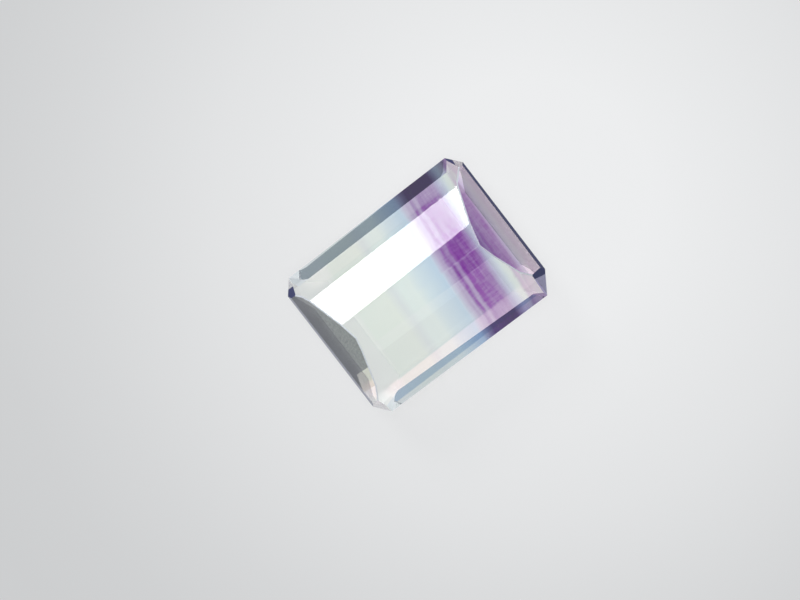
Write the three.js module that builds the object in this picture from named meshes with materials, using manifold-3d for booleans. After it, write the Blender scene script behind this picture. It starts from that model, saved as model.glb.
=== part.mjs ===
// Faceted fluorite gemstone, a cut-corner rectangle in step cut, as one solid.
//
// Millimetres. The large flat table facet lies on Z = 0 and the stone rests on it.
// The long axis is X, and the pavilion rises along +Z to a ridge called the keel.
// Starting from a block, every facet is one flat cut through it.

import * as THREE from "three";
import { mergeVertices } from "three/addons/utils/BufferGeometryUtils.js";
import Module from "manifold-3d";

// Driving dimensions

const HALF_LENGTH = 5.26;
const HALF_WIDTH = 4.08;
const CROWN_HEIGHT = 0.89;
const GIRDLE_HEIGHT = 0.23;
const CROWN_SLOPE = 25;
const BLOCK = 30;
const GIRDLE_TOP = CROWN_HEIGHT + GIRDLE_HEIGHT;

// Girdle
// The band around the middle has eight straight sides. Each has the direction it faces, in
// degrees from +X towards +Y, its distance from the middle of the stone, and the slope of the
// steep facet that rises from it, measured from the flat of the table.

const GIRDLE_SIDES = [
  { faces: 0, distance: HALF_LENGTH, slope: 75.5 },
  { faces: 40, distance: 6.22, slope: 69 },
  { faces: 90, distance: HALF_WIDTH, slope: 57 },
  { faces: 140, distance: 6.22, slope: 66 },
  { faces: 180, distance: HALF_LENGTH, slope: 75 },
  { faces: 220, distance: 6.11, slope: 68 },
  { faces: 269.2, distance: 4.02, slope: 57 },
  { faces: 327, distance: 6.06, slope: 65 },
];

// Pavilion
// Above the steep row, each facet is a plane that would meet the level of the girdle's top at
// the given distance. Every long side has three steps up to the keel, each end has one large
// facet, and small facets cut the corners between them. The cut is a hand-made one, so the two
// sides differ a little.

const PAVILION_FACETS = [
  { faces: 89.4, distance: 7.43, slope: 22.7 },
  { faces: 89.8, distance: 5.42, slope: 31.1 },
  { faces: 90, distance: 4.48, slope: 42.5 },

  { faces: 269.4, distance: 7.07, slope: 24.4 },
  { faces: 269.2, distance: 5.58, slope: 30.8 },
  { faces: 269.9, distance: 4.33, slope: 45.1 },

  { faces: 0.3, distance: 5.39, slope: 60.5 },
  { faces: 179.8, distance: 5.38, slope: 61.9 },

  { faces: 56.8, distance: 6.05, slope: 51.1 },
  { faces: 123.6, distance: 6.07, slope: 53.6 },
  { faces: 261.3, distance: 4.78, slope: 47.3 },
  { faces: 288.5, distance: 5.41, slope: 47.3 },
];

// Flat cuts

const wasm = await Module();
wasm.setup();

// A closed shape as a solid that can be cut.
function solidOf(geometry) {
  geometry.deleteAttribute("normal");
  geometry.deleteAttribute("uv");
  const merged = mergeVertices(geometry, 1e-5);
  return new wasm.Manifold(
    new wasm.Mesh({
      numProp: 3,
      vertProperties: new Float32Array(merged.attributes.position.array),
      triVerts: new Uint32Array(merged.index.array),
    }),
  );
}

// The material that a flat cut takes away: a block that starts at the facet's plane and goes
// outwards. The tilt is 0 for a cut that faces straight up, 90 for an upright side and over 90
// for one that faces down.
function cutter(faces, tilt, distance, height) {
  const towards = THREE.MathUtils.degToRad(faces);
  const lean = THREE.MathUtils.degToRad(tilt);
  const normal = new THREE.Vector3(
    Math.cos(towards) * Math.sin(lean),
    Math.sin(towards) * Math.sin(lean),
    Math.cos(lean),
  );
  const onPlane = new THREE.Vector3(
    Math.cos(towards) * distance,
    Math.sin(towards) * distance,
    height,
  );
  const waste = new THREE.BoxGeometry(2 * BLOCK, 2 * BLOCK, BLOCK);
  waste.translate(0, 0, BLOCK / 2);
  waste.applyQuaternion(
    new THREE.Quaternion().setFromUnitVectors(new THREE.Vector3(0, 0, 1), normal),
  );
  waste.translate(onPlane.x, onPlane.y, onPlane.z);
  return solidOf(waste);
}

// The stone

function cutStone() {
  const rough = new THREE.BoxGeometry(BLOCK, BLOCK, BLOCK);
  rough.translate(0, 0, BLOCK / 2);
  let stone = solidOf(rough);
  for (const side of GIRDLE_SIDES) {
    const crown = cutter(side.faces, 180 - CROWN_SLOPE, side.distance, CROWN_HEIGHT);
    const girdle = cutter(side.faces, 90, side.distance, GIRDLE_TOP);
    const steep = cutter(side.faces, side.slope, side.distance, GIRDLE_TOP);
    stone = stone.subtract(crown).subtract(girdle).subtract(steep);
  }
  for (const facet of PAVILION_FACETS) {
    stone = stone.subtract(cutter(facet.faces, facet.slope, facet.distance, GIRDLE_TOP));
  }
  return stone;
}

// The faces of a cut solid.
function geometryOf(solid) {
  const mesh = solid.getMesh();
  const geometry = new THREE.BufferGeometry();
  geometry.setAttribute("position", new THREE.BufferAttribute(mesh.vertProperties, 3));
  geometry.setIndex(new THREE.BufferAttribute(mesh.triVerts, 1));
  return geometry;
}

// Clear pale green fluorite with a glassy polish.
const fluorite = new THREE.MeshStandardMaterial({
  color: "#cfdcd6",
  roughness: 0.05,
  metalness: 0,
});

const gem = new THREE.Mesh(geometryOf(cutStone()), fluorite);
gem.name = "fluorite_gem";

const specimen = new THREE.Group();
specimen.name = "fluorite_specimen";
specimen.add(gem);

export default specimen;
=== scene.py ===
import math

import bpy
from mathutils import Matrix, Vector


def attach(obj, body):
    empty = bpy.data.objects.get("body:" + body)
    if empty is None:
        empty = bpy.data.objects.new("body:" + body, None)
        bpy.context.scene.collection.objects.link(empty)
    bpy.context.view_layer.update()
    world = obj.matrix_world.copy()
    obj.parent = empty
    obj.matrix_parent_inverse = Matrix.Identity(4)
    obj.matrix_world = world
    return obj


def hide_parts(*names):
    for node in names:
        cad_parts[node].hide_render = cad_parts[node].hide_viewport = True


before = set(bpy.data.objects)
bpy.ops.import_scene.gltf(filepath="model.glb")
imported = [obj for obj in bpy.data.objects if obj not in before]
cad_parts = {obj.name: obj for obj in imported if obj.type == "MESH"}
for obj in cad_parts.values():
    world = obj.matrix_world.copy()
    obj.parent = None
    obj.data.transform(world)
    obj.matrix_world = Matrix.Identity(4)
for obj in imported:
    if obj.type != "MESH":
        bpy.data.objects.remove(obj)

bl_info = {
    "name": "Fluorite Gemstone",
    "version": (1, 0, 0),
    "blender": (4, 5, 0),
    "location": "3D View > Sidebar > Fluorite",
    "description": "A step-cut fluorite gemstone with a purple colour band, and its studio",
    "category": "Object",
}

# The stone is cut on a bench where one unit is a millimetre, so that merge distances stay small
# beside its facets. It starts as a block, the rough, and is brought down to its real size in
# metres at the end.
MILLIMETRE = 0.001
ROUGH_SIZE = 20
CUT_PRECISION = 0.00001
MERGE_DISTANCE = 0.0005

# Each side of the girdle: the direction it faces in degrees from +X towards +Y, its distance
# from the middle in millimetres, and the slope of the steep facet that rises from it.
GIRDLE_SIDES = [
    (0, 5.26, 75.5),
    (40, 6.22, 69),
    (90, 4.08, 57),
    (140, 6.22, 66),
    (180, 5.26, 75),
    (220, 6.11, 68),
    (269.2, 4.02, 57),
    (327, 6.06, 65),
]

# The upper facets of the pavilion: the direction each faces, the distance at which its plane
# meets the level of the girdle's top, and its slope.
PAVILION_FACETS = [
    (89.4, 7.43, 22.7),
    (89.8, 5.42, 31.1),
    (90, 4.48, 42.5),
    (269.4, 7.07, 24.4),
    (269.2, 5.58, 30.8),
    (269.9, 4.33, 45.1),
    (0.3, 5.39, 60.5),
    (179.8, 5.38, 61.9),
    (56.8, 6.05, 51.1),
    (123.6, 6.07, 53.6),
    (261.3, 4.78, 47.3),
    (288.5, 5.41, 47.3),
]

# Small chips on the ridges: where each ball bites, seen from above, and its radius, all in
# millimetres. Its middle stands off the surface by a share of the radius, so the bite stays
# shallow, and the spin gives each one a turn of its own.
CHIP_STAND_OFF = 0.6
CHIP_SPIN = 40
CHIPS = [
    (3.8, 0.74, 0.07),
    (3.69, 0.1, 0.035),
    (-3.95, 1.0, 0.05),
    (-3.82, -0.65, 0.035),
    (-3.86, -0.85, 0.03),
    (-4.3, 2.6, 0.03),
    (4.6, -2.6, 0.035),
]

# The pale body's zones and the purple band's strength, each as distances in millimetres along
# the stone from its middle.
BODY_ZONES = [
    (-5.3, (0.98, 1.0, 0.98)),
    (-3.2, (0.96, 1.0, 0.96)),
    (-2.9, (0.91, 0.98, 0.91)),
    (-1.4, (0.92, 0.98, 0.91)),
    (-1.0, (0.86, 0.92, 0.91)),
    (-0.65, (0.9, 0.99, 0.95)),
    (-0.1, (0.9, 0.99, 0.95)),
    (0.4, (0.78, 0.9, 0.94)),
    (1.3, (0.64, 0.79, 0.91)),
    (1.6, (0.78, 0.79, 0.9)),
    (3.2, (0.8, 0.79, 0.9)),
    (3.5, (0.68, 0.75, 0.89)),
    (3.8, (0.76, 0.85, 0.92)),
    (4.0, (0.88, 0.97, 0.92)),
    (4.2, (0.92, 0.98, 0.92)),
    (4.35, (0.92, 0.8, 0.9)),
    (5.3, (0.98, 0.92, 0.9)),
]
BAND_ZONES = [
    (1.4, 0.0),
    (1.5, 0.2),
    (1.62, 0.32),
    (1.74, 0.5),
    (1.88, 0.52),
    (2.0, 0.93),
    (2.07, 0.9),
    (2.2, 0.62),
    (2.28, 0.68),
    (2.38, 1.0),
    (2.5, 1.0),
    (2.6, 0.92),
    (3.12, 0.9),
    (3.3, 0.78),
    (3.46, 0.5),
    (3.62, 0.24),
    (3.85, 0.0),
    (4.15, 0.0),
    (4.28, 0.42),
    (4.45, 0.2),
    (5.3, 0.0),
]

# How strongly the band shows by height above the table, in millimetres: a thin part of the
# stone holds less colour than a thick one. The topmost zone is the worn line along the keel.
DEPTH_ZONES = [
    (0.0, 1.0),
    (0.1, 0.65),
    (1.9, 0.55),
    (2.6, 0.6),
    (3.2, 0.75),
    (3.8, 0.97),
    (4.255, 1.0),
    (4.268, 0.62),
    (4.3, 0.62),
]

# The zones are planes across the stone, a little aslant. The noise bends them, and the shift
# brings them back to their places afterwards.
ZONE_NORMAL = (1.0, -0.079, -0.04)
ZONE_BEND = 0.25
ZONE_SHIFT = 0.03
BODY_SPAN = (-5.3, 5.3)
BAND_SPAN = (1.36, 5.3)
DEPTH_SPAN = (0.0, 4.3)

# The texture of the purple band: noise drawn out into streaks across the stone, crossed by a
# share of noise drawn out into finer fibres, which slant by some degrees. Where their sum lies
# in the given span, the band's strength varies by these factors.
STREAK_STRETCH = (6.0, 0.5, 0.3)
FIBRE_STRETCH = (1.6, 8.0, 1.0)
FIBRE_SLANT = 25
FIBRE_SHARE = 0.6
TEXTURE_SPAN = (0.55, 1.05)
TEXTURE_STRENGTH = (0.78, 1.18)

# Painted shade: tones that darken some facets on top of the zones, as distances in millimetres
# along the stone.
GREY_END_SHADE = [
    (-5.3, (0.034, 0.039, 0.054)),
    (-4.95, (0.038, 0.043, 0.055)),
    (-4.75, (0.052, 0.058, 0.07)),
    (-4.6, (0.082, 0.09, 0.102)),
    (-4.555, (0.098, 0.108, 0.122)),
    (-4.535, (0.075, 0.082, 0.092)),
    (-3.6, (0.08, 0.088, 0.09)),
]
# Painted shade on the facets at the purple end: mauve, darkest towards the middle of the stone.
MAUVE_END_SHADE = [
    (3.5, (0.1, 0.02, 0.19)),
    (3.75, (0.17, 0.06, 0.27)),
    (4.0, (0.34, 0.225, 0.44)),
    (4.2, (0.47, 0.38, 0.56)),
    (4.555, (0.61, 0.52, 0.68)),
    (4.585, (0.95, 0.78, 1.0)),
    (5.3, (0.98, 0.8, 1.0)),
]
# Lighter, warm painted shade on part of the grey end facet.
CREAM_SHADE_PATCH = [
    (-5.3, (0.6, 0.58, 0.5)),
    (-3.6, (0.68, 0.64, 0.54)),
]
# Painted shade on the steep long sides: a faint blue, near black where the band runs.
BLUE_SIDE_SHADE = [
    (-5.3, (0.84, 0.9, 1.0)),
    (0.0, (0.8, 0.86, 1.0)),
    (1.3, (0.46, 0.58, 0.92)),
    (1.9, (0.05, 0.03, 0.16)),
    (3.3, (0.04, 0.02, 0.14)),
    (3.8, (0.42, 0.46, 0.75)),
    (4.3, (0.2, 0.13, 0.35)),
    (5.3, (0.2, 0.13, 0.35)),
]
# Painted shade on the rims and one corner facet: dark navy.
DARK_RIM_SHADE = [
    (-5.3, (0.05, 0.07, 0.16)),
    (0.0, (0.05, 0.07, 0.16)),
    (4.6, (0.16, 0.15, 0.36)),
    (5.3, (0.14, 0.15, 0.38)),
]
# Painted shade: the opaque navy of the rim at the purple end and parts of the corners.
NAVY_SHADE = (0.05, 0.055, 0.16)
# Wear and a painted highlight: the white of the worn ridges and chips.
WORN_HIGHLIGHT_WHITE = (0.93, 0.95, 1.0)

REFRACTIVE_INDEX = 1.434

# The sockets of a colour mix, by their place on its node.
MIX_FACTOR = 0
MIX_FIRST = 6
MIX_SECOND = 7
MIX_RESULT = 2

# Where the painted shade on the grey end facet turns cream and then clear towards its corner,
# in millimetres across the stone. The cream patch of lighter painted shade also stops short of
# the rim, along a slanting line through the given place.
CREAM_FROM = -1.52
CLEAR_FROM = -2.42
CREAM_EDGE_AT = -4.86
CREAM_EDGE_LEAN = 0.35
CREAM_EDGE_FACES = (0.94, -0.33, 0)

# Three corner facets carry painted navy shade on one side of these places, across or along the
# stone. The third facet is divided along a line that passes through the given place and leans a
# little.
NAVY_BELOW = 3.66
NAVY_BEFORE = 4.93
NAVY_ABOVE = -3.12
NAVY_ABOVE_AT = 4.8
NAVY_ABOVE_FACES = (0.3, 1, 0)

# The floor lies a hair below the table, so that the two don't touch, in metres.
FLOOR_LEVEL = -0.00002

# Painted light: the floor glows softly, brightest under the stone where it lifts the stone's
# shadow, as distances in metres from its brightest place.
GLOW_CENTRE = (0.0065, 0, 0)
FLOOR_GLOW = [
    (0.0, 0.72),
    (0.006, 0.715),
    (0.015, 0.63),
    (0.022, 0.54),
    (0.026, 0.5),
    (0.03, 0.48),
]

# Painted light: faint warm strips of floor glow under the stone's two long overhanging sides:
# their glow across the stone and its strength along it, in metres.
WARM_ACROSS = [
    (-0.003, 0.0),
    (-0.0028, (0.24, 0.11, 0.12)),
    (-0.00219, (0.24, 0.11, 0.12)),
    (-0.00215, 0.0),
    (0.00215, 0.0),
    (0.00219, (0.1, 0.075, 0.07)),
    (0.0028, (0.1, 0.075, 0.07)),
    (0.003, 0.0),
]
WARM_ALONG_SPAN = (-0.005, 0.005)
WARM_ALONG = [
    (-0.0044, 0.0),
    (-0.0038, 1.0),
    (0.001, 1.0),
    (0.0036, 0.5),
    (0.0042, 0.0),
]

# Painted light: a small glowing spot of floor under one corner of the stone, which shows in
# that corner's facet: its place and its glow by distance from there, in metres.
BRIGHT_CORNER = (-0.0044, -0.0027, 0.0)
BRIGHT_GLOW = [
    (0.0, 0.24),
    (0.0003, 0.24),
    (0.0007, 0.0),
]

# The room's tones from the stone's -Y side round to its +Y side.
ROOM_TONES = [
    (-1.0, (0.25, 0.29, 0.32)),
    (0.5, (0.27, 0.31, 0.35)),
    (1.0, (0.36, 0.44, 0.54)),
]

# The side lamp stands where the white facet mirrors it into the camera.
SIDE_LAMP_TOWARDS = (-0.054, 0.872, 0.486)

# How the camera looks down on the stone: its lean about the two level axes and its turn about
# the upright one, in degrees, then what it looks at and how far that is off the middle of the
# picture, in metres.
CAMERA_LEAN_Y = 3.3
CAMERA_LEAN_X = -1.4
CAMERA_TURN = -37.65
CAMERA_AIM = (0, 0.00003, 0.00112)
CAMERA_SHIFT = (-0.00088, -0.00069, 0)


class StoneSettings(bpy.types.PropertyGroup):
    crown_height: bpy.props.FloatProperty(
        name="Crown height",
        description="From the table up to the girdle",
        default=0.00089,
        unit="LENGTH",
        precision=5,
    )
    girdle_height: bpy.props.FloatProperty(
        name="Girdle height",
        description="Height of the straight band around the stone",
        default=0.00023,
        unit="LENGTH",
        precision=5,
    )
    crown_slope: bpy.props.FloatProperty(
        name="Crown slope",
        description="Slope of the facets between the table and the girdle",
        default=math.radians(25),
        subtype="ANGLE",
    )
    end_wear: bpy.props.FloatProperty(
        name="End wear",
        description="How far the ridges around the two large end facets are worn down",
        default=0.000042,
        unit="LENGTH",
        precision=6,
    )
    purple: bpy.props.FloatVectorProperty(
        name="Purple",
        description="The full strength of the purple band",
        default=(0.25, 0.04, 0.38),
        subtype="COLOR",
        size=3,
    )


class StudioSettings(bpy.types.PropertyGroup):
    floor_size: bpy.props.FloatProperty(
        name="Floor size",
        description="Side of the square floor",
        default=2.0,
        unit="LENGTH",
    )
    floor_tone: bpy.props.FloatProperty(
        name="Floor tone",
        description="How pale the floor is",
        default=0.2,
        min=0.0,
        max=1.0,
    )
    camera_distance: bpy.props.FloatProperty(
        name="Camera distance",
        description="From the lens to the stone",
        default=0.25,
        unit="LENGTH",
    )
    camera_lens: bpy.props.FloatProperty(
        name="Camera lens",
        description="Focal length in millimetres",
        default=236.0,
    )


def plane_of(faces, tilt, distance, height):
    """A facet's plane, as a point on it and the direction it faces."""
    towards = math.radians(faces)
    normal = Vector(
        (
            math.cos(towards) * math.sin(tilt),
            math.sin(towards) * math.sin(tilt),
            math.cos(tilt),
        )
    )
    on_plane = Vector((math.cos(towards) * distance, math.sin(towards) * distance, height))
    return on_plane, normal


def cut_facet(faces, tilt, distance, height):
    """Cuts the rough along one plane and closes the cut with a flat face."""
    on_plane, normal = plane_of(faces, tilt, distance, height)
    bpy.ops.mesh.select_all(action="SELECT")
    bpy.ops.mesh.bisect(
        plane_co=on_plane,
        plane_no=normal,
        use_fill=True,
        clear_outer=True,
        threshold=CUT_PRECISION,
    )


def cut_all_facets(crown_height, girdle_height, crown_slope):
    """Cuts crown, girdle and pavilion out of a rough block."""
    girdle_top = crown_height + girdle_height
    for faces, distance, slope in GIRDLE_SIDES:
        cut_facet(faces, math.pi - crown_slope, distance, crown_height)
        cut_facet(faces, math.pi / 2, distance, girdle_top)
        cut_facet(faces, math.radians(slope), distance, girdle_top)
    for faces, distance, slope in PAVILION_FACETS:
        cut_facet(faces, math.radians(slope), distance, girdle_top)


def chip_ridges(stone, wear):
    """Bites small chips out of the ridges that lie under the chips' places."""
    bites = []
    for x, y, radius in CHIPS:
        found, place, normal, _ = stone.ray_cast(Vector((x, y, ROUGH_SIZE)), Vector((0, 0, -1)))
        if not found:
            raise RuntimeError("a chip lies beside the stone")
        bpy.ops.mesh.primitive_ico_sphere_add(
            subdivisions=2,
            radius=radius,
            location=place + normal * radius * CHIP_STAND_OFF,
            rotation=(x, y, radius * CHIP_SPIN),
        )
        bites.append(bpy.context.object)
    for bite in bites:
        bite.select_set(True)
    bpy.ops.object.join()
    bite = bpy.context.object
    # The chips take the worn white: wear, and partly a painted highlight.
    bite.data.materials.append(wear)
    bpy.context.view_layer.objects.active = stone
    cut = stone.modifiers.new("chips", "BOOLEAN")
    cut.operation = "DIFFERENCE"
    cut.solver = "EXACT"
    cut.use_hole_tolerant = True
    cut.material_mode = "TRANSFER"
    cut.object = bite
    bpy.ops.object.modifier_apply(modifier=cut.name)
    bpy.data.objects.remove(bite, do_unlink=True)
    if not stone.data.polygons:
        raise RuntimeError("the chips left nothing of the stone")


def add_node(tree, kind, values=None, **settings):
    """A shader node with its settings and the values of its unlinked sockets."""
    node = tree.nodes.new(kind)
    for name, value in settings.items():
        setattr(node, name, value)
    for socket, value in (values or {}).items():
        node.inputs[socket].default_value = value
    return node


def add_ramp(tree, source, stops, low, high):
    """A colour ramp whose stops are given as distances between low and high."""
    span = add_node(tree, "ShaderNodeMapRange", {"From Min": low, "From Max": high})
    tree.links.new(source, span.inputs["Value"])
    node = add_node(tree, "ShaderNodeValToRGB")
    ramp = node.color_ramp
    for index, (distance, colour) in enumerate(stops):
        if not isinstance(colour, tuple):
            colour = grey(colour)
        place = (distance - low) / (high - low)
        if index < len(ramp.elements):
            stop = ramp.elements[index]
            stop.position = place
        else:
            stop = ramp.elements.new(place)
        stop.color = (*colour, 1.0)
    tree.links.new(span.outputs["Result"], node.inputs["Fac"])
    return node.outputs["Color"]


def grey(value):
    """A colour that is equally strong in red, green and blue."""
    return (value, value, value)


def place_in_millimetres(tree):
    """The place on the stone, in millimetres."""
    place = add_node(tree, "ShaderNodeTexCoord")
    enlarged = add_node(
        tree, "ShaderNodeVectorMath", {1: (1 / MILLIMETRE,) * 3}, operation="MULTIPLY"
    )
    tree.links.new(place.outputs["Object"], enlarged.inputs[0])
    return enlarged.outputs["Vector"]


def distance_along(tree, place):
    """How far along the stone a place is, in the bent and slanting measure of the zones."""
    along = add_node(tree, "ShaderNodeVectorMath", {1: ZONE_NORMAL}, operation="DOT_PRODUCT")
    tree.links.new(place, along.inputs[0])
    waver = add_node(tree, "ShaderNodeTexNoise", {"Scale": 0.8, "Detail": 2.0})
    tree.links.new(place, waver.inputs["Vector"])
    bent = add_node(tree, "ShaderNodeMath", {1: ZONE_BEND}, operation="MULTIPLY_ADD")
    tree.links.new(waver.outputs["Fac"], bent.inputs[0])
    tree.links.new(along.outputs["Value"], bent.inputs[2])
    distance = add_node(tree, "ShaderNodeMath", {1: ZONE_SHIFT}, operation="ADD")
    tree.links.new(bent.outputs["Value"], distance.inputs[0])
    return distance.outputs["Value"]


def stretched_noise(tree, place, mapping, noise):
    """Noise that is drawn out along one direction."""
    stretched = add_node(tree, "ShaderNodeMapping", mapping)
    tree.links.new(place, stretched.inputs["Vector"])
    drawn = add_node(tree, "ShaderNodeTexNoise", {"Scale": 1.0, **noise})
    tree.links.new(stretched.outputs["Vector"], drawn.inputs["Vector"])
    return drawn.outputs["Fac"]


def between(tree, source, span, result):
    """A value of which the given span is stretched over the span of the result."""
    node = add_node(
        tree,
        "ShaderNodeMapRange",
        {"From Min": span[0], "From Max": span[1], "To Min": result[0], "To Max": result[1]},
    )
    tree.links.new(source, node.inputs["Value"])
    return node.outputs["Result"]


def band_texture(tree, place):
    """The growth streaks of the purple band, crossed by fine slanting fibres."""
    streaks = stretched_noise(
        tree, place, {"Scale": STREAK_STRETCH}, {"Detail": 4.0, "Roughness": 0.6}
    )
    fibres = stretched_noise(
        tree,
        place,
        {"Rotation": (0.0, 0.0, math.radians(FIBRE_SLANT)), "Scale": FIBRE_STRETCH},
        {"Detail": 3.0},
    )
    woven = add_node(tree, "ShaderNodeMath", {1: FIBRE_SHARE}, operation="MULTIPLY_ADD")
    tree.links.new(fibres, woven.inputs[0])
    tree.links.new(streaks, woven.inputs[2])
    return between(tree, woven.outputs["Value"], TEXTURE_SPAN, TEXTURE_STRENGTH)


def product(tree, first, second, **settings):
    """Two numbers multiplied, of which the second may be a plain value."""
    node = add_node(tree, "ShaderNodeMath", operation="MULTIPLY", **settings)
    tree.links.new(first, node.inputs[0])
    if isinstance(second, float):
        node.inputs[1].default_value = second
    else:
        tree.links.new(second, node.inputs[1])
    return node.outputs["Value"]


def mixed(tree, first, second, blend):
    """Two colours fully multiplied or added."""
    node = add_node(
        tree, "ShaderNodeMix", {MIX_FACTOR: 1.0}, data_type="RGBA", blend_type=blend
    )
    tree.links.new(first, node.inputs[MIX_FIRST])
    tree.links.new(second, node.inputs[MIX_SECOND])
    return node.outputs[MIX_RESULT]


def speckles(tree, place, grain):
    """Small uneven patches of polish, a little darker and lighter than the rest."""
    speckle = add_node(tree, "ShaderNodeTexNoise", {"Scale": 9.0, "Detail": 3.0})
    tree.links.new(place, speckle.inputs["Vector"])
    return between(tree, speckle.outputs["Fac"], (0.3, 0.7), (1 - grain, 1 + grain))


def fluorite_material(
    name,
    purple,
    tone=None,
    straight=False,
    stain=1.0,
    shading_gamma=1.0,
    grain=0.0,
    roughness=0.0,
):
    """Clear fluorite, coloured in zones along the stone.

    A tone, given as zones too, is painted shade that darkens the whole, and a straight one
    doesn't bend with the other zones. The stain is the purple band's strength. The shading
    gamma deepens the colour above 1 and lightens it below 1, painted shade and light in place
    of a longer or shorter way of light through the stone behind this facet, and the grain is
    how speckled the facet's polish is.
    """
    material = bpy.data.materials.new(name)
    material.use_nodes = True
    tree = material.node_tree
    tree.nodes.clear()

    place = place_in_millimetres(tree)
    distance = distance_along(tree, place)
    body = add_ramp(tree, distance, BODY_ZONES, *BODY_SPAN)
    band = add_ramp(tree, distance, BAND_ZONES, *BAND_SPAN)
    level = add_node(tree, "ShaderNodeSeparateXYZ")
    tree.links.new(place, level.inputs["Vector"])
    depth = add_ramp(tree, level.outputs["Z"], DEPTH_ZONES, *DEPTH_SPAN)
    streaked = product(tree, band, band_texture(tree, place))
    thinned = product(tree, streaked, depth)
    density = product(tree, thinned, stain, use_clamp=True)

    stained = add_node(
        tree, "ShaderNodeMix", {MIX_SECOND: (*purple, 1.0)}, data_type="RGBA"
    )
    tree.links.new(density, stained.inputs[MIX_FACTOR])
    tree.links.new(body, stained.inputs[MIX_FIRST])
    # A gamma on the colour: painted shade on facets where it is above 1, painted light where it
    # is below 1.
    painted_shading = add_node(tree, "ShaderNodeGamma", {"Gamma": shading_gamma})
    tree.links.new(stained.outputs[MIX_RESULT], painted_shading.inputs["Color"])
    colour = painted_shading.outputs["Color"]
    # Painted shade: the tone darkens the facet.
    if tone:
        ruler = level.outputs["X"] if straight else distance
        shade = add_ramp(tree, ruler, tone, tone[0][0], tone[-1][0])
        colour = mixed(tree, colour, shade, "MULTIPLY")
    if grain:
        colour = mixed(tree, colour, speckles(tree, place, grain), "MULTIPLY")

    shader = add_node(
        tree,
        "ShaderNodeBsdfPrincipled",
        {"Roughness": roughness, "IOR": REFRACTIVE_INDEX, "Transmission Weight": 1.0},
    )
    tree.links.new(colour, shader.inputs["Base Color"])
    output = add_node(tree, "ShaderNodeOutputMaterial")
    tree.links.new(shader.outputs["BSDF"], output.inputs["Surface"])
    return material


def on_crown(face):
    """On the underside: the table, or a facet between it and the girdle."""
    return face.normal.z < -0.1


def in_green_end(face):
    """In the large facet at the green end, above its rim."""
    return face.normal.x < -0.8 and face.normal.z > 0.4


def in_cream_patch(face):
    """In the part of that facet where its painted shade turns cream near its corner."""
    return in_green_end(face) and CLEAR_FROM < face.center.y < CREAM_FROM


def in_green_corner(face):
    """In the upper corner facet at the green end, on the +Y side."""
    return -0.8 < face.normal.x < -0.6 and face.normal.y > 0.4 and face.normal.z > 0.1


def in_purple_corner(face):
    """In the upper corner facet at the purple end, on the +Y side."""
    return 0.6 < face.normal.x < 0.8 and face.normal.y > 0.4 and face.normal.z > 0.1


def in_dark_corner(face):
    """In the upper corner facet at the purple end, on the -Y side."""
    return face.normal.x > 0.7 and face.normal.y < -0.4 and face.normal.z > 0.1


def split_facet(stone, chosen, place, direction):
    """Divides the chosen facet along a plane, where its painted shade changes."""
    bpy.ops.object.mode_set(mode="EDIT")
    bpy.ops.mesh.select_mode(type="FACE")
    bpy.ops.mesh.select_all(action="DESELECT")
    bpy.ops.object.mode_set(mode="OBJECT")
    for face in stone.data.polygons:
        face.select = chosen(face)
    bpy.ops.object.mode_set(mode="EDIT")
    bpy.ops.mesh.bisect(plane_co=place, plane_no=direction, threshold=CUT_PRECISION)
    bpy.ops.object.mode_set(mode="OBJECT")


def split_facets(stone):
    """Divides the facets that hold more than one tone of painted shade."""
    split_facet(stone, in_green_corner, (0, NAVY_BELOW, 0), (0, 1, 0))
    split_facet(stone, in_purple_corner, (NAVY_BEFORE, 0, 0), (1, 0, 0))
    split_facet(stone, in_dark_corner, (NAVY_ABOVE_AT, NAVY_ABOVE, 0), NAVY_ABOVE_FACES)
    split_facet(stone, in_green_end, (0, CREAM_FROM, 0), (0, 1, 0))
    split_facet(stone, in_green_end, (0, CLEAR_FROM, 0), (0, 1, 0))
    split_facet(stone, in_cream_patch, (CREAM_EDGE_AT, CREAM_FROM, 0), CREAM_EDGE_FACES)


def in_purple_rim(face):
    """In the girdle or the steep facet over it, at the purple end."""
    return face.normal.x > 0.93


def in_navy_shade(face):
    """Painted navy shade: in the rim at the purple end, or in the dark part of a corner facet.
    """
    return (
        in_purple_rim(face)
        or (in_green_corner(face) and face.center.y < NAVY_BELOW)
        or (in_purple_corner(face) and face.center.x < NAVY_BEFORE)
        or (in_dark_corner(face) and face.center.y > NAVY_ABOVE)
    )


def look_at_green_end(face):
    """The look of a facet that faces the green end, with its painted shade."""
    if face.center.y < CLEAR_FROM:
        return "clear"
    if face.normal.z < 0.3:
        return "dark_rim_shade"
    patch_edge = CREAM_EDGE_AT + (face.center.y - CREAM_FROM) * CREAM_EDGE_LEAN
    if face.center.y > CREAM_FROM or face.center.x < patch_edge:
        return "grey_end_shade"
    return "cream"


def look_of(face):
    """The name of a facet's look, by the direction that it faces and where it is."""
    x, y, z = face.normal
    if on_crown(face):
        return "frosted" if abs(x) > 0.3 else "clear"
    if in_navy_shade(face):
        return "navy"
    # Painted shade on the corner facet at the purple end's -Y side.
    if x > 0.7 and y < -0.4:
        return "dark_rim_shade"
    if x > 0.8:
        return "mauve_end_shade"
    if x < -0.8:
        return look_at_green_end(face)
    if abs(y) > 0.8 and z > 0.3:
        return "steep_side_shade"
    if y < -0.5:
        return "low_side_painted_light"
    if 0.48 < y < 0.56:
        return "lit_side_painted"
    return "clear"


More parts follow.
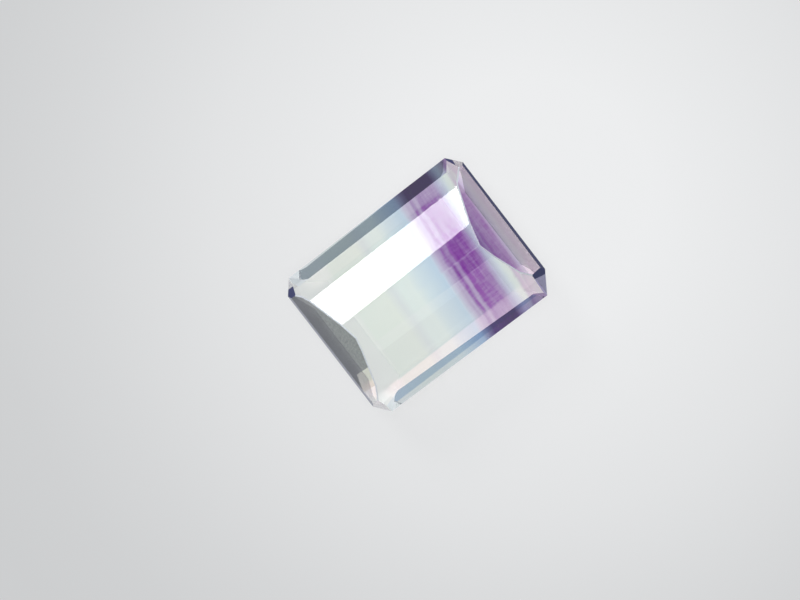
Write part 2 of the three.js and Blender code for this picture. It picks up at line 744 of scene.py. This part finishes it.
def looks_of_fluorite(purple):
    """Every look that the stone's facets have, painted shade, light and highlight among them,
    in the order of its material slots.
    """
    return {
        "clear": fluorite_material("fluorite", purple),
        "worn_highlight_edge": worn_highlight_material(),
        "grey_end_shade": fluorite_material(
            "fluorite_grey_end", purple, tone=GREY_END_SHADE, straight=True, grain=0.4
        ),
        "mauve_end_shade": fluorite_material(
            "fluorite_mauve_end", purple, tone=MAUVE_END_SHADE, straight=True, stain=0.6
        ),
        # Painted shade on the steep long sides: a dark tone, a much stronger band and a deeper
        # colour.
        "steep_side_shade": fluorite_material(
            "fluorite_steep_side", purple, tone=BLUE_SIDE_SHADE, stain=2.5, shading_gamma=1.2
        ),
        "cream": fluorite_material("fluorite_cream", purple, tone=CREAM_SHADE_PATCH),
        "dark_rim_shade": fluorite_material("fluorite_dark_rim", purple, tone=DARK_RIM_SHADE),
        "frosted": fluorite_material("fluorite_frosted", purple, roughness=0.5),
        # Lit and shaded copies of the clear look, set by the way the facets face: painted light
        # on the low side, lighter with a weaker band, and a stronger band on the lit side.
        "low_side_painted_light": fluorite_material("fluorite_low_side", purple, stain=0.85, shading_gamma=0.65),
        "lit_side_painted": fluorite_material("fluorite_lit_side", purple, stain=1.15),
        "navy": navy_shade_material(),
    }


def worn_highlight_material():
    """The white, slightly frosted look of a ridge that has been knocked: wear, and a painted
    highlight along the ridge.
    """
    material = bpy.data.materials.new("fluorite_worn_edge")
    material.use_nodes = True
    shader = material.node_tree.nodes["Principled BSDF"]
    shader.inputs["Base Color"].default_value = (*WORN_HIGHLIGHT_WHITE, 1.0)
    shader.inputs["Roughness"].default_value = 0.4
    shader.inputs["IOR"].default_value = REFRACTIVE_INDEX
    shader.inputs["Transmission Weight"].default_value = 0.3
    return material


def navy_shade_material():
    """Painted shade: an opaque deep navy put in the rim at the purple end and in parts of the
    corners.
    """
    material = bpy.data.materials.new("fluorite_navy")
    material.use_nodes = True
    shader = material.node_tree.nodes["Principled BSDF"]
    shader.inputs["Base Color"].default_value = (*NAVY_SHADE, 1.0)
    shader.inputs["Roughness"].default_value = 0.5
    shader.inputs["Specular IOR Level"].default_value = 0.1
    return material


def wear_end_ridges(stone, width, worn_highlight_slot):
    """Wears down the ridges around the two large end facets.

    These are the upper ridges between a facet that faces an end and one that faces a side.
    Their bevels take the worn white, which is partly a painted highlight.
    """
    facets = {}
    for face in stone.data.polygons:
        for key in face.edge_keys:
            facets.setdefault(key, []).append(face.normal.copy())
    bpy.ops.object.mode_set(mode="EDIT")
    bpy.ops.mesh.select_mode(type="EDGE")
    bpy.ops.mesh.select_all(action="DESELECT")
    bpy.ops.object.mode_set(mode="OBJECT")
    for edge in stone.data.edges:
        lengthways = sorted(abs(normal.x) for normal in facets[edge.key])
        upper = min(normal.z for normal in facets[edge.key]) > 0.3
        edge.select = upper and lengthways[0] < 0.5 and lengthways[1] > 0.8
    bpy.ops.object.mode_set(mode="EDIT")
    bpy.ops.mesh.bevel(offset=width, segments=1, affect="EDGES", material=worn_highlight_slot)
    bpy.ops.object.mode_set(mode="OBJECT")


class SPECIMEN_OT_stone(bpy.types.Operator):
    """Cut the fluorite stone, wear its ridges and colour it, with painted shade and highlights
    on some facets
    """

    bl_idname = "specimen.stone"
    bl_label = "Cut the stone"

    def execute(self, context):
        settings = context.scene.fluorite_stone
        bpy.ops.object.select_all(action="DESELECT")
        bpy.ops.mesh.primitive_cube_add(size=ROUGH_SIZE, location=(0, 0, ROUGH_SIZE / 2))
        stone = context.object
        stone.name = "fluorite_stone"
        bpy.ops.object.mode_set(mode="EDIT")
        cut_all_facets(
            settings.crown_height / MILLIMETRE,
            settings.girdle_height / MILLIMETRE,
            settings.crown_slope,
        )
        bpy.ops.mesh.select_all(action="SELECT")
        bpy.ops.mesh.remove_doubles(threshold=MERGE_DISTANCE)
        bpy.ops.mesh.normals_make_consistent(inside=False)
        bpy.ops.object.mode_set(mode="OBJECT")

        split_facets(stone)
        looks = looks_of_fluorite(settings.purple)
        for look in looks.values():
            stone.data.materials.append(look)
        slots = list(looks)
        for face in stone.data.polygons:
            face.material_index = slots.index(look_of(face))
        wear_end_ridges(stone, settings.end_wear / MILLIMETRE, slots.index("worn_highlight_edge"))
        bpy.ops.object.transform_apply(location=True, rotation=False, scale=False)
        chip_ridges(stone, looks["worn_highlight_edge"])
        bpy.ops.object.select_all(action="DESELECT")
        stone.select_set(True)
        stone.scale = (MILLIMETRE, MILLIMETRE, MILLIMETRE)
        bpy.ops.object.transform_apply(location=False, rotation=False, scale=True)
        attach(stone, "root")
        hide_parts("fluorite_gem")
        return {"FINISHED"}


class SPECIMEN_OT_studio(bpy.types.Operator):
    """Set up the pale floor with its painted glow, the soft light and the camera"""

    bl_idname = "specimen.studio"
    bl_label = "Set up the studio"

    def execute(self, context):
        settings = context.scene.fluorite_studio
        scene = context.scene
        scene.view_settings.view_transform = "Standard"

        bpy.ops.object.select_all(action="DESELECT")
        bpy.ops.mesh.primitive_plane_add(size=settings.floor_size, location=(0, 0, FLOOR_LEVEL))
        floor = context.object
        floor.name = "floor"
        floor.data.materials.append(self.painted_light_floor(settings.floor_tone))
        scene.world = self.surroundings()
        self.lamp(
            "overhead_softbox", (0.0, 0.0, 1.0), distance=0.6, size=(0.5, 0.5), radiance=1.3
        )
        side = self.lamp(
            "side_lamp", SIDE_LAMP_TOWARDS, distance=0.4, size=(0.14, 0.07), radiance=15.5
        )
        side.visible_transmission = False
        scene.camera = self.camera(settings)
        return {"FINISHED"}

    def camera(self, settings):
        """The camera, which looks down on the stone and sees it turned and a little aslant."""
        lean_y = Matrix.Rotation(math.radians(CAMERA_LEAN_Y), 3, "Y")
        lean_x = Matrix.Rotation(math.radians(CAMERA_LEAN_X), 3, "X")
        turn = lean_y @ lean_x @ Matrix.Rotation(math.radians(CAMERA_TURN), 3, "Z")
        lens = bpy.data.cameras.new("camera")
        lens.lens = settings.camera_lens
        lens.clip_start = 0.01
        lens.clip_end = 10.0
        camera = bpy.data.objects.new("camera", lens)
        bpy.context.scene.collection.objects.link(camera)
        aim = Vector(CAMERA_AIM) + turn @ Vector(CAMERA_SHIFT)
        back = turn @ Vector((0, 0, settings.camera_distance))
        camera.matrix_world = Matrix.Translation(aim + back) @ turn.to_4x4()
        return camera

    def painted_light_floor(self, tone):
        """Pale floor with painted light: it glows, brightest under the stone and a little
        darker away from it, with warm strips and a spot under the stone.
        """
        paper = bpy.data.materials.new("pale_floor_painted_light")
        paper.use_nodes = True
        tree = paper.node_tree
        place = add_node(tree, "ShaderNodeTexCoord").outputs["Object"]
        # Painted light in the floor's emission: a glow brightest under the stone, warm strips
        # and a spot under one corner.
        glow = self.glow_around(tree, place, GLOW_CENTRE, FLOOR_GLOW)
        spot = self.glow_around(tree, place, BRIGHT_CORNER, BRIGHT_GLOW)
        level = add_node(tree, "ShaderNodeSeparateXYZ")
        tree.links.new(place, level.inputs["Vector"])
        across = add_ramp(
            tree, level.outputs["Y"], WARM_ACROSS, WARM_ACROSS[0][0], WARM_ACROSS[-1][0]
        )
        along = add_ramp(tree, level.outputs["X"], WARM_ALONG, *WARM_ALONG_SPAN)
        warm = mixed(tree, across, along, "MULTIPLY")
        patches = mixed(tree, warm, spot, "ADD")
        shader = tree.nodes["Principled BSDF"]
        shader.inputs["Base Color"].default_value = (*grey(tone), 1.0)
        shader.inputs["Roughness"].default_value = 0.8
        shader.inputs["Specular IOR Level"].default_value = 0.0
        shader.inputs["Emission Strength"].default_value = 1.0
        tree.links.new(mixed(tree, glow, patches, "ADD"), shader.inputs["Emission Color"])
        return paper

    def glow_around(self, tree, place, centre, stops):
        """A round glow on the floor that changes with the distance from its centre."""
        away = add_node(tree, "ShaderNodeVectorMath", {1: centre}, operation="DISTANCE")
        tree.links.new(place, away.inputs[0])
        return add_ramp(tree, away.outputs["Value"], stops, stops[0][0], stops[-1][0])

    def surroundings(self):
        """A dim, slightly blue room that is brighter towards +Y."""
        world = bpy.data.worlds.new("soft_studio")
        world.use_nodes = True
        tree = world.node_tree
        place = add_node(tree, "ShaderNodeTexCoord")
        towards = add_node(tree, "ShaderNodeSeparateXYZ")
        tree.links.new(place.outputs["Generated"], towards.inputs["Vector"])
        across = add_ramp(tree, towards.outputs["Y"], ROOM_TONES, -1.0, 1.0)
        tree.links.new(across, tree.nodes["Background"].inputs["Color"])
        return world

    def lamp(self, name, towards, distance, size, radiance):
        """A rectangular lamp that faces the stone and isn't itself in view.

        Its radiance is in watts per square metre and steradian.
        """
        towards = Vector(towards).normalized()
        light = bpy.data.lights.new(name, "AREA")
        light.shape = "RECTANGLE"
        light.size, light.size_y = size
        light.energy = radiance * math.pi * size[0] * size[1]
        lamp = bpy.data.objects.new(name, light)
        bpy.context.scene.collection.objects.link(lamp)
        lamp.location = towards * distance
        lamp.rotation_mode = "QUATERNION"
        lamp.rotation_quaternion = towards.to_track_quat("Z", "Y")
        lamp.visible_camera = False
        return lamp


class SPECIMEN_PT_panel(bpy.types.Panel):
    """The fluorite stone and its studio"""

    bl_idname = "SPECIMEN_PT_panel"
    bl_label = "Fluorite gemstone"
    bl_space_type = "VIEW_3D"
    bl_region_type = "UI"
    bl_category = "Fluorite"

    def draw(self, context):
        layout = self.layout
        stone = context.scene.fluorite_stone
        for name in ("crown_height", "girdle_height", "crown_slope", "end_wear", "purple"):
            layout.prop(stone, name)
        studio = context.scene.fluorite_studio
        for name in ("floor_size", "floor_tone", "camera_distance", "camera_lens"):
            layout.prop(studio, name)
        layout.operator("specimen.stone")
        layout.operator("specimen.studio")


CLASSES = (
    StoneSettings,
    StudioSettings,
    SPECIMEN_OT_stone,
    SPECIMEN_OT_studio,
    SPECIMEN_PT_panel,
)


def register():
    for made in CLASSES:
        bpy.utils.register_class(made)
    bpy.types.Scene.fluorite_stone = bpy.props.PointerProperty(type=StoneSettings)
    bpy.types.Scene.fluorite_studio = bpy.props.PointerProperty(type=StudioSettings)


def unregister():
    del bpy.types.Scene.fluorite_studio
    del bpy.types.Scene.fluorite_stone
    for made in reversed(CLASSES):
        bpy.utils.unregister_class(made)


def main():
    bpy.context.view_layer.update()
    register()
    bpy.ops.specimen.stone()
    bpy.ops.specimen.studio()


if __name__ == "__main__":
    main()
